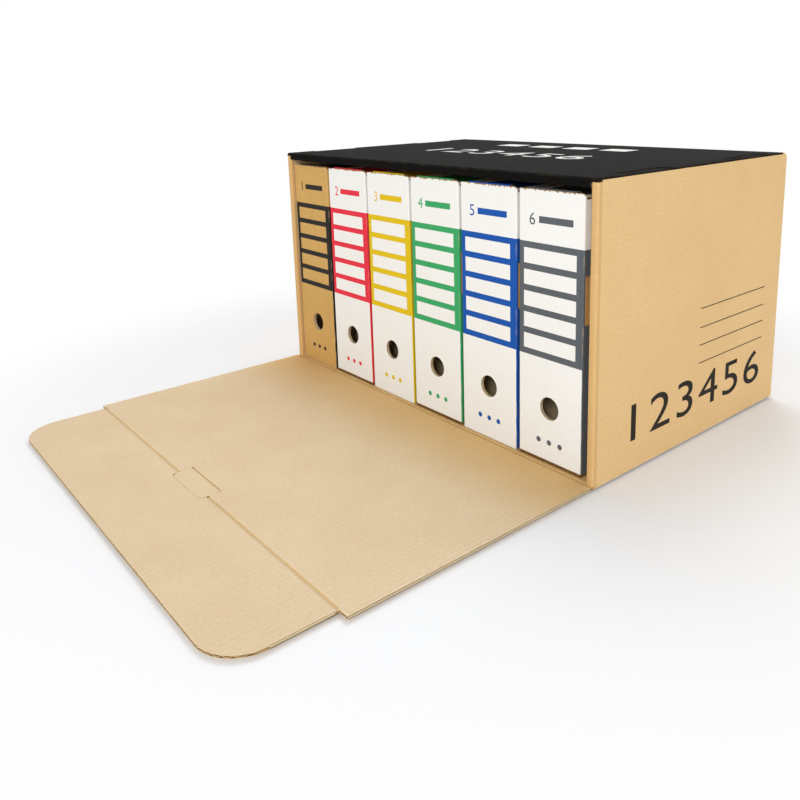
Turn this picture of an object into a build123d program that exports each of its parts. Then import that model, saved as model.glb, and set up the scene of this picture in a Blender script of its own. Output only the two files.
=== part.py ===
"""Front-opening archive box of corrugated board, with a row of upright file boxes inside.

Millimetres. The origin is the middle of the bottom panel's underside, with +X to the right, +Y to the back
and +Z up. The front flap lies open on the floor in front of the box.
"""

import os

from build123d import *

# Case
case_width = 560
case_depth = 360
case_height = 310
board = 3
wall_layers = 3
roll_depth = 6
roll_round = 3
fold_radius = 8
fold_round = 2

# Double top with a rolled front edge
top_roll_height = 10
top_dust_flap_length = 130
dust_flap_setback = 14

# Lock tabs pressed into the top's side edges
lock_tab_width = 16
lock_tab_length = 76
lock_tab_setback = 44
lock_tab_board = 1.5
lock_tab_clearance = 0.3

# Front flap, tuck flap and pull tab
crease = 0.6
tuck_length = 100
tuck_corner = 40
tuck_side_clearance = 2
tuck_top_clearance = 0.5
pull_tab_width = 70
pull_tab_root = 15
pull_tab_reach = 9
pull_tab_corner = 8
pull_tab_slit = 0.5

# File boxes
file_count = 6
file_board = 2.5
file_left_gap = 2
file_right_gap = 10
file_gap = 4
file_front_gap = 5
file_back_gap = 12
file_slide_gap = 0.3
file_head_room = 3.2
file_top_corner = 6
file_fold_round = 1.5
lid_drop = 3
finger_hole_diameter = 25
finger_hole_height = 62
notch_drop = 80
notch_height = 50
notch_reach = 20
notch_depth = 1
notch_corner = 6

# Places that follow from those sizes
half_width = case_width / 2
front = -case_depth / 2
back = case_depth / 2
roll_back = front + roll_depth
top_under = case_height - board
top_inner_under = case_height - top_roll_height
wall = wall_layers * board
inner_half_width = half_width - wall
inner_width = 2 * inner_half_width
lock_tab_offset = case_depth / 2 - lock_tab_setback - lock_tab_length / 2
lock_tab_places = (-lock_tab_offset, lock_tab_offset)

hinge_y = front - crease / 2
flap_reach = top_inner_under - tuck_top_clearance - 2 * board
crease_y = hinge_y - flap_reach
root_y = crease_y + pull_tab_root
tuck_width = inner_width - 2 * tuck_side_clearance

file_width = (inner_width - file_left_gap - file_right_gap - (file_count - 1) * file_gap) / file_count
file_front = front + file_front_gap
file_back = back - board - file_back_gap
file_bottom = board + file_slide_gap
file_floor = file_bottom + file_board
file_top = board + flap_reach - file_head_room
lid_top = file_top - lid_drop
lid_under = lid_top - file_board

sides = {"left": -1, "right": 1}

os.makedirs("parts", exist_ok=True)


def finish(piece, name):
    """Labels a finished piece and writes its file."""
    piece.part.label = name
    export_step(piece.part, f"parts/{name}.step")


def slab(low, high):
    """A flat piece of board that fills the box between two opposite corners."""
    low, high = Vector(*low), Vector(*high)
    size, middle = high - low, (low + high) / 2
    with BuildPart() as piece:
        with BuildSketch(Plane.XY.offset(low.Z)):
            with Locations((middle.X, middle.Y)):
                Rectangle(size.X, size.Y)
        extrude(amount=size.Z)
    return piece


def layer(side, depth, low, high):
    """One upright layer of a side wall, given how far its outer face lies inside the wall's outer face.

    Its top back corner is rounded to lie under the bend of the top panel.
    """
    outer_x, inner_x = side * (half_width - depth), side * (half_width - depth - board)
    with BuildPart() as piece:
        with BuildSketch(Plane.YZ.offset(min(outer_x, inner_x))):
            with Locations(((low[0] + high[0]) / 2, (low[1] + high[1]) / 2)):
                Rectangle(high[0] - low[0], high[1] - low[1])
            fillet(vertices().group_by(Axis.Y)[-1].sort_by(Axis.X)[-1], radius=fold_radius - board)
        extrude(amount=board)
    return piece


# Bottom and back panels
with BuildPart() as bottom_panel:
    with BuildSketch(Plane.XY):
        Rectangle(case_width, case_depth)
    extrude(amount=board)
    folds = bottom_panel.faces().sort_by(Axis.Z)[0].edges().sort_by(Axis.Y)[1:]
    fillet(folds, radius=fold_round)
finish(bottom_panel, "bottom_panel")

back_panel = slab(
    (-half_width + board, back - board, board), (half_width - board, back, case_height - fold_radius)
)
finish(back_panel, "back_panel")

# Top panel, bent down at the back, with a notch for each lock tab
with BuildPart() as top_panel:
    bend_y, bend_z = back - fold_radius, case_height - fold_radius
    with BuildSketch(Plane.YZ.offset(-half_width + board)):
        with BuildLine():
            Line((bend_y, top_under), (roll_back, top_under))
            Line((roll_back, top_under), (roll_back, case_height))
            Line((roll_back, case_height), (bend_y, case_height))
            CenterArc((bend_y, bend_z), fold_radius, 0, 90)
            Line((back, bend_z), (back - board, bend_z))
            CenterArc((bend_y, bend_z), fold_radius - board, 0, 90)
        make_face()
    extrude(amount=case_width - 2 * board)
    with BuildSketch(Plane.XY.offset(case_height)):
        notch_x = half_width - lock_tab_width / 2
        with Locations(*[(s * notch_x, y) for s in sides.values() for y in lock_tab_places]):
            Rectangle(lock_tab_width, lock_tab_length)
    extrude(amount=-board, mode=Mode.SUBTRACT)
finish(top_panel, "top_panel")

# Rolled front edge of the top, and the inner layer that it turns back into
with BuildPart() as top_roll:
    with BuildSketch(Plane.YZ.offset(-inner_half_width)):
        with Locations((front + roll_depth / 2, case_height - top_roll_height / 2)):
            Rectangle(roll_depth, top_roll_height)
        fillet(vertices().sort_by(Axis.X)[:2], radius=roll_round)
        with Locations(((front + board + roll_back) / 2, case_height - top_roll_height / 2)):
            Rectangle(roll_depth - board, top_roll_height - 2 * board, mode=Mode.SUBTRACT)
    extrude(amount=inner_width)
finish(top_roll, "top_roll")

top_inner_panel = slab(
    (-inner_half_width, roll_back, top_inner_under),
    (inner_half_width, back - fold_radius, top_inner_under + board),
)
finish(top_inner_panel, "top_inner_panel")

# Side walls: outer layer, dust flap and inner layer, joined by a rolled front edge
for name, side in sides.items():
    with BuildPart() as outer_wall:
        with BuildSketch(Plane.YZ.offset(min(side * half_width, side * (half_width - board)))):
            with Locations(((roll_back + back) / 2, (board + case_height) / 2)):
                Rectangle(back - roll_back, case_height - board)
            fillet(vertices().group_by(Axis.Y)[-1].sort_by(Axis.X)[-1], radius=fold_radius)
            with Locations(*[(y, case_height - board / 2) for y in lock_tab_places]):
                Rectangle(lock_tab_length, board, mode=Mode.SUBTRACT)
        extrude(amount=board)
    finish(outer_wall, f"{name}_outer_wall")

    with BuildPart() as front_roll:
        with BuildSketch(Plane.XY.offset(board)):
            with Locations((side * (half_width - wall / 2), front + roll_depth / 2)):
                Rectangle(wall, roll_depth)
            fillet(vertices().sort_by(Axis.Y)[:2], radius=roll_round)
            with Locations((side * (half_width - wall / 2), (front + board + roll_back) / 2)):
                Rectangle(wall - 2 * board, roll_depth - board, mode=Mode.SUBTRACT)
        extrude(amount=case_height - board)
    finish(front_roll, f"{name}_front_roll")

    dust_flap = layer(side, board, (roll_back + dust_flap_setback, board), (back - board, top_under))
    finish(dust_flap, f"{name}_dust_flap")

    inner_wall = layer(side, wall - board, (roll_back, board), (back - board, top_under))
    finish(inner_wall, f"{name}_inner_wall")

    flap_edges = sorted((side * inner_half_width, side * (inner_half_width - top_dust_flap_length)))
    top_dust_flap = slab(
        (flap_edges[0], roll_back + dust_flap_setback, top_under - board),
        (flap_edges[1], back - fold_radius, top_under),
    )
    finish(top_dust_flap, f"{name}_top_dust_flap")

    tab_edges = sorted((side * half_width, side * (half_width - lock_tab_width + lock_tab_clearance)))
    for place, y in zip(("front", "back"), lock_tab_places):
        reach = lock_tab_length / 2 - lock_tab_clearance
        lock_tab = slab(
            (tab_edges[0], y - reach, top_under), (tab_edges[1], y + reach, top_under + lock_tab_board)
        )
        finish(lock_tab, f"{name}_{place}_lock_tab")

# Front flap, notched for the pull tab
with BuildPart() as front_flap:
    with BuildSketch(Plane.XY):
        with Locations((0, (hinge_y + crease_y) / 2)):
            Rectangle(case_width, flap_reach - crease)
        with Locations((0, (crease_y + root_y + crease / 2) / 2)):
            Rectangle(pull_tab_width + 2 * pull_tab_slit, pull_tab_root + crease / 2, mode=Mode.SUBTRACT)
    extrude(amount=board)
finish(front_flap, "front_flap")

# Tuck flap with rounded corners, notched for the pull tab
with BuildPart() as tuck_flap:
    tuck_front = crease_y - tuck_length
    tuck_rear = crease_y - crease / 2
    notch_end = crease_y - pull_tab_reach - pull_tab_slit
    with BuildSketch(Plane.XY):
        with Locations((0, (tuck_front + tuck_rear) / 2)):
            Rectangle(tuck_width, tuck_rear - tuck_front)
        fillet(vertices().sort_by(Axis.Y)[:2], radius=tuck_corner)
        with Locations((0, (notch_end + tuck_rear) / 2)):
            Rectangle(pull_tab_width + 2 * pull_tab_slit, tuck_rear - notch_end, mode=Mode.SUBTRACT)
    extrude(amount=board)
finish(tuck_flap, "tuck_flap")

# Pull tab, scored across its root and cut free on its other sides
with BuildPart() as pull_tab:
    tab_front, tab_rear = crease_y - pull_tab_reach, root_y - crease / 2
    with BuildSketch(Plane.XY):
        with Locations((0, (tab_front + tab_rear) / 2)):
            Rectangle(pull_tab_width, tab_rear - tab_front)
        fillet(vertices().sort_by(Axis.Y)[:2], radius=pull_tab_corner)
    extrude(amount=board)
finish(pull_tab, "pull_tab")

# File boxes, each with four walls that stand on a base, and a lid
for number in range(1, file_count + 1):
    left = -inner_half_width + file_left_gap + (number - 1) * (file_width + file_gap)
    right = left + file_width
    panel_front, panel_back = file_front + file_board, file_back - file_board

    with BuildPart() as file_front_panel:
        with BuildSketch(Plane.XZ.offset(-file_front)):
            with Locations(((left + right) / 2, (file_floor + file_top) / 2)):
                Rectangle(file_width, file_top - file_floor)
            fillet(vertices().group_by(Axis.Y)[-1], radius=file_top_corner)
            with Locations(((left + right) / 2, file_bottom + finger_hole_height)):
                Circle(finger_hole_diameter / 2, mode=Mode.SUBTRACT)
        extrude(amount=-file_board)
        fillet(file_front_panel.edges().filter_by(Axis.Z).group_by(Axis.Y)[0], radius=file_fold_round)
    finish(file_front_panel, f"file_{number}_front")

    file_back_panel = slab((left, panel_back, file_floor), (right, file_back, lid_under))
    finish(file_back_panel, f"file_{number}_back")

    file_left_side = slab((left, panel_front, file_floor), (left + file_board, panel_back, lid_under))
    finish(file_left_side, f"file_{number}_left")

    with BuildPart() as file_right_side:
        with BuildSketch(Plane.YZ.offset(right - file_board)):
            with Locations(((panel_front + panel_back) / 2, (file_floor + lid_under) / 2)):
                Rectangle(panel_back - panel_front, lid_under - file_floor)
        extrude(amount=file_board)
        with BuildSketch(Plane.YZ.offset(right)):
            with Locations((panel_front + notch_reach / 2, file_top - notch_drop - notch_height / 2)):
                Rectangle(notch_reach, notch_height)
            fillet(vertices().sort_by(Axis.X)[-2:], radius=notch_corner)
        extrude(amount=-notch_depth, mode=Mode.SUBTRACT)
    finish(file_right_side, f"file_{number}_right")

    with BuildPart() as file_base:
        with BuildSketch(Plane.XY.offset(file_bottom)):
            with Locations(((left + right) / 2, (file_front + file_back) / 2)):
                Rectangle(file_width, file_back - file_front)
            fillet(vertices().group_by(Axis.Y)[0], radius=file_fold_round)
        extrude(amount=file_board)
    finish(file_base, f"file_{number}_base")

    file_lid = slab((left, panel_front, lid_under), (right, file_back, lid_top))
    finish(file_lid, f"file_{number}_lid")
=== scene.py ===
"""Looks of a front-opening archive box: a case of corrugated board that holds six upright file boxes.

Metres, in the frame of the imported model: the origin is the middle of the case's underside, +X to the right,
+Y to the back and +Z up. A panel is modelled in axes of its own: across its profile, along it, and out of it.
"""

import logging
import math
import random
from dataclasses import dataclass
from enum import Enum
from typing import Any, Callable, Iterable, Optional, Sequence

import bmesh
import bpy
from bmesh.types import BMesh, BMFace, BMVert
from mathutils import Color, Matrix, Vector


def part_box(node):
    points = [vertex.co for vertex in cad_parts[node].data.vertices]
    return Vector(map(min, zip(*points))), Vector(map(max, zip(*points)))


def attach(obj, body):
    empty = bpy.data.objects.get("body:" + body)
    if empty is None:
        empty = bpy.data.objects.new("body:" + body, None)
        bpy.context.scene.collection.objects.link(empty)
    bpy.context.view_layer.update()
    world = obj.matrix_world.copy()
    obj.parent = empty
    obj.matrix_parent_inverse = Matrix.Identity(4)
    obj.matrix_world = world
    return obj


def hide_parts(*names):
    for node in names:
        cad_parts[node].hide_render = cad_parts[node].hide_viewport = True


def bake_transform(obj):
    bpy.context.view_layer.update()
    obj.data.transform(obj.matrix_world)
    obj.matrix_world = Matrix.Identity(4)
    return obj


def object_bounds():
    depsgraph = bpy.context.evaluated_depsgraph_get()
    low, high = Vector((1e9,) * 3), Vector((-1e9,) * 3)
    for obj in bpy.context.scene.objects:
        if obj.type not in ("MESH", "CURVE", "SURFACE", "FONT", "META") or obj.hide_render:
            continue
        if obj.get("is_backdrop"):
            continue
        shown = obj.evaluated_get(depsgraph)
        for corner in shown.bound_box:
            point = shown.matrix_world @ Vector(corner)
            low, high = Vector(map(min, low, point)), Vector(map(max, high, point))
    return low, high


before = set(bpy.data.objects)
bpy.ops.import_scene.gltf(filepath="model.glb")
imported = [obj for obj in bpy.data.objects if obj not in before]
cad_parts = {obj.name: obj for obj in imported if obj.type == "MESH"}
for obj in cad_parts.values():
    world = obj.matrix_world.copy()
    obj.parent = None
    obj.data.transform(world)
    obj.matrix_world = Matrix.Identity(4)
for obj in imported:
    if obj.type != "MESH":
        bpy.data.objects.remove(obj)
cad_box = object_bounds()
log = logging.getLogger("archive_box")

Pair = tuple[float, float]
Triple = tuple[float, float, float]
Profile = list[Pair]
Finish = bpy.types.Material
Socket = bpy.types.NodeSocket
Words = Sequence[str]

SIDES = ("left", "right")
ENDS = ("front", "back")
WHITE = (1.0, 1.0, 1.0, 1.0)
DIGIT_MERGE = 0.003
DIGIT_SLIVER = 1e-6


def linear(code: str) -> tuple[float, ...]:
    """Turns six hexadecimal digits of sRGB into linear red, green and blue, with an alpha of 1."""
    shares = Color([share / 255 for share in bytes.fromhex(code)])
    return *shares.from_srgb_to_scene_linear(), 1.0


def arc(centre: Pair, radius: float, start: float, stop: float, steps: int = 6) -> Profile:
    """Lists the points of an arc between two angles in degrees, both ends included."""
    angles = [math.radians(start + (stop - start) * k / steps) for k in range(steps + 1)]
    return [(centre[0] + radius * math.cos(a), centre[1] + radius * math.sin(a)) for a in angles]


class Lay(Enum):
    """How a panel lies: the direction its profile is drawn along, then the one its outer face looks in."""

    FLOOR = ((0, 1, 0), (0, 0, 1))
    TOP = ((1, 0, 0), (0, 0, 1))
    FRONT = ((0, 0, 1), (0, -1, 0))
    BACK = ((0, 0, 1), (0, 1, 0))
    RIGHT_WALL = ((0, 1, 0), (1, 0, 0))
    LEFT_WALL = ((0, 1, 0), (-1, 0, 0))
    RIGHT_SIDE = ((0, 0, 1), (1, 0, 0))
    LEFT_SIDE = ((0, 0, 1), (-1, 0, 0))

    def axes(self) -> tuple[Vector, Vector, Vector]:
        """Gives the panel's own axes in the frame: across, along and out."""
        along, out = Vector(self.value[0]), Vector(self.value[1])
        return along.cross(out), along, out

    def matrix(self) -> Matrix:
        """Gives the turn from the panel's own axes to the frame."""
        return Matrix(self.axes()).transposed().to_4x4()

    def extent(self, low: Vector, high: Vector) -> tuple[Vector, Vector]:
        """Turns a box of the frame into the panel's own axes.

        Args:
            low: The box's lowest corner.
            high: Its highest corner.

        Returns:
            The lowest and highest corner in the panel's own axes.
        """
        back = self.matrix().inverted()
        one, two = back @ low, back @ high
        return Vector(map(min, one, two)), Vector(map(max, one, two))

    def ribs(self) -> Vector:
        """Gives the direction across the flutes, which run across the profile on the case's top."""
        return self.axes()[1 if self is Lay.TOP else 0]

    def flutes(self) -> Vector:
        """Gives the direction along the flutes."""
        return self.axes()[0 if self is Lay.TOP else 1]


@dataclass(frozen=True)
class Board:
    """A grade of corrugated board: two liners with a fluted medium between them."""

    liner: float = 0.0004
    medium: float = 0.00035
    pitch: float = 0.0062
    dip: float = 0.00004
    samples: int = 8

    def phase(self, place: float) -> float:
        """Gives the wave of the flutes at a place, from -1 to 1."""
        return math.cos(2 * math.pi * place / self.pitch)

    def sink(self, place: float) -> float:
        """Gives how far the outer liner dips at a place."""
        return self.dip * (1 - self.phase(place)) / 2

    def run(self, start: float, stop: float) -> list[float]:
        """Lists places, both ends included, that are close enough to draw the flutes."""
        count = max(1, round(abs(stop - start) / self.pitch * self.samples))
        return [start + (stop - start) * k / count for k in range(count + 1)]

    def face(self, start: float, stop: float, level: float, out: int = 1) -> Profile:
        """Draws a liner that dips between the flutes, the outer one if out is 1, the inner one if -1."""
        return [(p, level - out * self.dip * (1 - out * self.phase(p)) / 2) for p in self.run(start, stop)]

    def reach(self, low: float, high: float) -> float:
        """Gives the height of the medium's wave between the board's two faces."""
        return (high - low) / 2 - self.liner - self.medium / 2 - self.dip

    def wave(self, start: float, stop: float, low: float, high: float) -> Profile:
        """Draws the medium between the board's inner face, low, and its outer face, high."""
        middle, reach = (low + high + self.medium) / 2, self.reach(low, high)
        return [(p, middle + reach * self.phase(p)) for p in self.run(start, stop)]


class Graph:
    """A node tree with short calls that add and join nodes."""

    SCALARS = ("DOT_PRODUCT", "DISTANCE")

    def __init__(self, tree: bpy.types.NodeTree) -> None:
        """Keeps the tree to work on."""
        self.tree = tree

    def fill(self, node: bpy.types.Node, given: dict) -> None:
        """Joins or sets a node's inputs.

        Args:
            node: The node.
            given: Values or sockets for its inputs, by name or number.
        """
        for name, value in given.items():
            if isinstance(value, Socket):
                self.tree.links.new(value, node.inputs[name])
            else:
                node.inputs[name].default_value = value

    def node(self, kind: str, given: Optional[dict] = None, **settings: Any) -> Sequence[Socket]:
        """Adds a node.

        Args:
            kind: The node's type, without the ShaderNode that all types start with.
            given: Values or sockets for its inputs, by name or number.
            settings: Values for its properties.

        Returns:
            The node's outputs.
        """
        made = self.tree.nodes.new(f"ShaderNode{kind}")
        for name, value in settings.items():
            setattr(made, name, value)
        self.fill(made, given or {})
        return made.outputs

    def math(self, operation: str, *values: Any) -> Socket:
        """Adds a Math node and returns its value."""
        return self.node("Math", dict(enumerate(values)), operation=operation)[0]

    def vector(self, operation: str, *values: Any) -> Socket:
        """Adds a Vector Math node and returns its vector, or its value where the result is one number."""
        made = self.node("VectorMath", dict(enumerate(values)), operation=operation)
        return made["Value" if operation in self.SCALARS else "Vector"]

    def mix(self, share: Any, first: Any, second: Any) -> Socket:
        """Adds a Mix node, whose colours are inputs 6 and 7 and output 2, and returns its colour."""
        return self.node("Mix", {0: share, 6: first, 7: second}, data_type="RGBA")[2]

    def noise(self, place: Any, scale: float, detail: float) -> Socket:
        """Adds a Noise Texture and returns its value."""
        return self.node("TexNoise", {"Vector": place, "Scale": scale, "Detail": detail})[0]

    def ramp(self, value: Any, start: Any, stop: Any) -> Socket:
        """Adds a smooth step from 0 to 1 and returns its value."""
        given = {"Value": value, "From Min": start, "From Max": stop}
        return self.node("MapRange", given, interpolation_type="SMOOTHSTEP")[0]

    def backdrop(self, shader: bpy.types.Node, kind: str, fade: Any = 1.0) -> None:
        """Shows white in place of a shader to the camera, in gloss and through glass.

        Args:
            shader: The shader's node.
            kind: The type of the node that gives the white.
            fade: The share of white.
        """
        path = self.node("LightPath")
        seen = self.math("MAXIMUM", path["Is Camera Ray"], path["Is Glossy Ray"])
        seen = self.math("MAXIMUM", seen, path["Is Transmission Ray"])
        white = self.node(kind, {"Color": WHITE, "Strength": 1.0})[0]
        share = self.math("MULTIPLY", seen, fade)
        both = self.node("MixShader", {0: share, 1: shader.outputs[0], 2: white})[0]
        end = next(node for node in self.tree.nodes if node.type.startswith("OUTPUT"))
        self.fill(end, {"Surface": both})


class Group(Graph):
    """A shader node group with named sockets."""

    def __init__(self, name: str, vectors: Words, values: Words, gives: Words) -> None:
        """Makes the group and its sockets.

        Args:
            name: The group's name.
            vectors: The names of the inputs that are vectors.
            values: The names of the inputs that are values.
            gives: The names of the outputs, all values.
        """
        super().__init__(bpy.data.node_groups.new(name, "ShaderNodeTree"))
        for way, kind, labels in (("INPUT", "Vector", vectors), ("INPUT", "Float", values),
                                  ("OUTPUT", "Float", gives)):
            for label in labels:
                self.tree.interface.new_socket(label, in_out=way, socket_type=f"NodeSocket{kind}")
        self.taken = self.tree.nodes.new("NodeGroupInput").outputs
        self.end = self.tree.nodes.new("NodeGroupOutput")

    def give(self, **values: Socket) -> bpy.types.NodeTree:
        """Joins values to the group's outputs and returns its tree."""
        self.fill(self.end, values)
        return self.tree


@dataclass(frozen=True)
class Liner:
    """A paper face: its colours, gloss, how much fibres, flecks and the painted shade in the dips between
    flutes show, and a deeper tone of painted shade towards the case.
    """

    name: str
    colour: str
    dark: str
    worn: str
    roughness: float = 0.72
    specular: float = 0.25
    mottle: float = 0.35
    fleck: float = 0.35
    # The share of a tint that darkens the dips between flutes: painted shade.
    band: float = 0.12
    wear: float = 0.5
    # A darker tone, mixed in by a step along Y towards the case: painted shade.
    deep: Optional[str] = None
    span: Pair = (0.0, 1.0)


@dataclass(frozen=True)
class Rub:
    """The box whose edges are rubbed, in the frame, the rub's width, and the pitch at which it repeats."""

    name: str
    centre: Triple
    half: Triple
    width: float
    repeat: float = 0.0


class Finishes:
    """Makes each paper finish once for each lay and hands it out.

    A noise is given by its scale and detail, and a step by the values where it starts and stops.
    """

    FIBRE, STREAK, CLOUD = (700.0, 4.0), (96.0, 2.0), (16.0, 3.0)
    FLECK, PATCH = (420.0, 1.0), (90.0, 4.0)
    FIBRE_SHARE, STREAK_SHARE, CLOUD_SHARE = 0.6, 0.08, 0.32
    TONE_STEP, FLECK_STEP, PATCH_STEP = (0.3, 0.7), (0.66, 0.76), (0.35, 0.75)
    PATCH_LEAST = 0.15
    ALONG_SHARE = 0.3
    ROUGH_SWING = 0.2
    BAND_HEIGHT, FIBRE_HEIGHT = -0.4, 0.6
    BUMP_STRENGTH, BUMP_DISTANCE = 0.2, 0.0002

    def __init__(self, board: Board) -> None:
        """Makes the node groups that the finishes share.

        Args:
            board: The grade of board, for the pitch of its flutes.
        """
        self.board = board
        self.made: dict[tuple, Finish] = {}
        self.grain, self.flutes, self.rubs = self.paper_grain(), self.flute_bands(), self.edge_rub()
        self.raw = self.paper(RAW_EDGE, Lay.FLOOR)

    def paper_grain(self) -> bpy.types.NodeTree:
        """Makes the group for fibres, clouds and flecks.

        Returns:
            The group, with Tone, Fleck and Fibre.
        """
        group = Group("paper_grain", ("Vector", "Run"), (), ("Tone", "Fleck", "Fibre"))
        place = group.taken["Vector"]
        run = group.vector("MULTIPLY", place, group.taken["Run"])
        fibre, streak = group.noise(run, *self.FIBRE), group.noise(run, *self.STREAK)
        tone = group.math("MULTIPLY", streak, self.STREAK_SHARE)
        tone = group.math("MULTIPLY_ADD", fibre, self.FIBRE_SHARE, tone)
        tone = group.math("MULTIPLY_ADD", group.noise(place, *self.CLOUD), self.CLOUD_SHARE, tone)
        fleck = group.ramp(group.noise(place, *self.FLECK), *self.FLECK_STEP)
        return group.give(Tone=group.ramp(tone, *self.TONE_STEP), Fleck=fleck, Fibre=fibre)

    def flute_bands(self) -> bpy.types.NodeTree:
        """Makes the group for faint bands along the flutes, 1 in the liner's dips between them: a painted
        shade there, and a bump.

        Returns:
            The group, with Band.
        """
        group = Group("flute_bands", ("Vector", "Across"), (), ("Band",))
        wave = group.math("COSINE", group.vector("DOT_PRODUCT", group.taken["Vector"], group.taken["Across"]))
        return group.give(Band=group.math("MULTIPLY_ADD", wave, -0.5, 0.5))

    def edge_rub(self) -> bpy.types.NodeTree:
        """Makes the group for edges that are rubbed pale or bare.

        Returns:
            The group, with Mask, which is 1 on the edges of a box and fades over a width.
        """
        group = Group("edge_rub", ("Vector", "Centre", "Half"), ("Width",), ("Mask",))
        place, centre, half, width = (group.taken[name] for name in ("Vector", "Centre", "Half", "Width"))
        offset = group.vector("ABSOLUTE", group.vector("SUBTRACT", place, centre))
        gap = group.vector("ABSOLUTE", group.vector("SUBTRACT", half, offset))
        x, y, z = group.node("SeparateXYZ", {0: gap})
        low, high = group.math("MINIMUM", x, y), group.math("MAXIMUM", x, y)
        middle = group.math("MAXIMUM", low, group.math("MINIMUM", high, z))
        patches = group.ramp(group.noise(place, *self.PATCH), *self.PATCH_STEP)
        uneven = group.math("MULTIPLY_ADD", patches, 1 - self.PATCH_LEAST, self.PATCH_LEAST)
        faded = group.ramp(middle, 0.0, group.math("MULTIPLY", width, uneven))
        return group.give(Mask=group.math("SUBTRACT", 1.0, faded))

    def paper(self, liner: Liner, lay: Lay, rub: Optional[Rub] = None) -> Finish:
        """Gives a paper finish for a panel.

        Args:
            liner: The kind of paper or print.
            lay: How the panel lies.
            rub: The box whose edges are rubbed, if any.

        Returns:
            The material.
        """
        key = (liner, tuple(lay.ribs()), rub)
        if key not in self.made:
            self.made[key] = self.paint(liner, lay, rub)
        return self.made[key]

    def paint(self, liner: Liner, lay: Lay, rub: Optional[Rub]) -> Finish:
        """Builds the nodes of one paper finish.

        Args:
            liner: The kind of paper or print.
            lay: How the panel lies.
            rub: The box whose edges are rubbed, if any.

        Returns:
            The material.
        """
        label = "_".join([liner.name, lay.name.lower()] + ([rub.name] if rub else []))
        material = bpy.data.materials.new(label)
        material.use_nodes = True
        graph = Graph(material.node_tree)
        place = graph.node("TexCoord")["Object"]
        run = [1 - (1 - self.ALONG_SHARE) * abs(a) for a in lay.flutes()]
        across = lay.ribs() * (2 * math.pi / self.board.pitch)
        tone, fleck, fibre = graph.node("Group", {"Vector": place, "Run": run}, node_tree=self.grain)
        band = graph.node("Group", {"Vector": place, "Across": across}, node_tree=self.flutes)["Band"]
        dark, mottle = linear(liner.dark), graph.math("MULTIPLY", tone, liner.mottle)
        colour = graph.mix(mottle, linear(liner.colour), dark)
        # Painted shade darkens the dips between flutes; the flecks are the paper's own.
        for mask, share in ((band, liner.band), (fleck, liner.fleck)):
            colour = graph.mix(graph.math("MULTIPLY", mask, share), colour, dark)
        # Painted shade: a step along Y mixes in the darker tone towards the case.
        if liner.deep:
            far = graph.ramp(graph.node("SeparateXYZ", {0: place})["Y"], *liner.span)
            colour = graph.mix(far, colour, graph.mix(mottle, linear(liner.deep), dark))
        if rub:
            worn = graph.math("MULTIPLY", self.rub_mask(graph, place, rub), liner.wear)
            colour = graph.mix(worn, colour, linear(liner.worn))
        rough = graph.math("MULTIPLY_ADD", fibre, self.ROUGH_SWING, liner.roughness - self.ROUGH_SWING / 2)
        fibres = graph.math("MULTIPLY", fibre, self.FIBRE_HEIGHT)
        height = graph.math("MULTIPLY_ADD", band, self.BAND_HEIGHT, fibres)
        bump = graph.node("Bump", {"Height": height, "Strength": self.BUMP_STRENGTH,
                                   "Distance": self.BUMP_DISTANCE})[0]
        graph.fill(graph.tree.nodes["Principled BSDF"], {
            "Base Color": colour, "Roughness": rough, "Specular IOR Level": liner.specular, "Normal": bump})
        return material

    def rub_mask(self, graph: Graph, place: Socket, rub: Rub) -> Socket:
        """Adds the edge rub to a material.

        Args:
            graph: The material's nodes.
            place: The Object coordinates.
            rub: The box whose edges are rubbed.

        Returns:
            The mask's value.
        """
        if rub.repeat:
            x, y, z = graph.node("SeparateXYZ", {0: place})
            low, high = (rub.centre[0] + way * rub.repeat / 2 for way in (-1, 1))
            place = graph.node("CombineXYZ", {0: graph.math("WRAP", x, high, low), 1: y, 2: z})[0]
        given = {"Vector": place, "Centre": rub.centre, "Half": rub.half, "Width": rub.width}
        return graph.node("Group", given, node_tree=self.rubs)["Mask"]


def link(name: str, data: bpy.types.ID) -> bpy.types.Object:
    """Puts data into the scene and returns the object that holds it."""
    bpy.context.scene.collection.objects.link(made := bpy.data.objects.new(name, data))
    return made


def bake(mesh: BMesh, name: str, finishes: Iterable[Finish] = ()) -> bpy.types.Mesh:
    """Turns a mesh in the making into mesh data and uses it up.

    Args:
        mesh: The mesh.
        name: The data's name.
        finishes: The data's materials.

    Returns:
        The mesh data.
    """
    data = bpy.data.meshes.new(name)
    mesh.to_mesh(data)
    mesh.free()
    for finish in finishes:
        data.materials.append(finish)
    return data


def drawn(holder: bpy.types.Object) -> BMesh:
    """Draws an object as a mesh, with its modifiers applied.

    Args:
        holder: The object.

    Returns:
        The mesh.
    """
    data = bpy.data.meshes.new_from_object(holder.evaluated_get(bpy.context.evaluated_depsgraph_get()))
    mesh = bmesh.new()
    mesh.from_mesh(data)
    bpy.data.meshes.remove(data)
    return mesh


def extrude(mesh: BMesh, height: float) -> BMesh:
    """Draws a flat face out into a closed solid.

    Args:
        mesh: A mesh of one face.
        height: How far the other end lies out of it.

    Returns:
        The same mesh.
    """
    made = bmesh.ops.extrude_face_region(mesh, geom=mesh.faces[:])["geom"]
    verts = [item for item in made if isinstance(item, BMVert)]
    bmesh.ops.translate(mesh, verts=verts, vec=(0, 0, height))
    bmesh.ops.recalc_face_normals(mesh, faces=mesh.faces[:])
    return mesh


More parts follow.
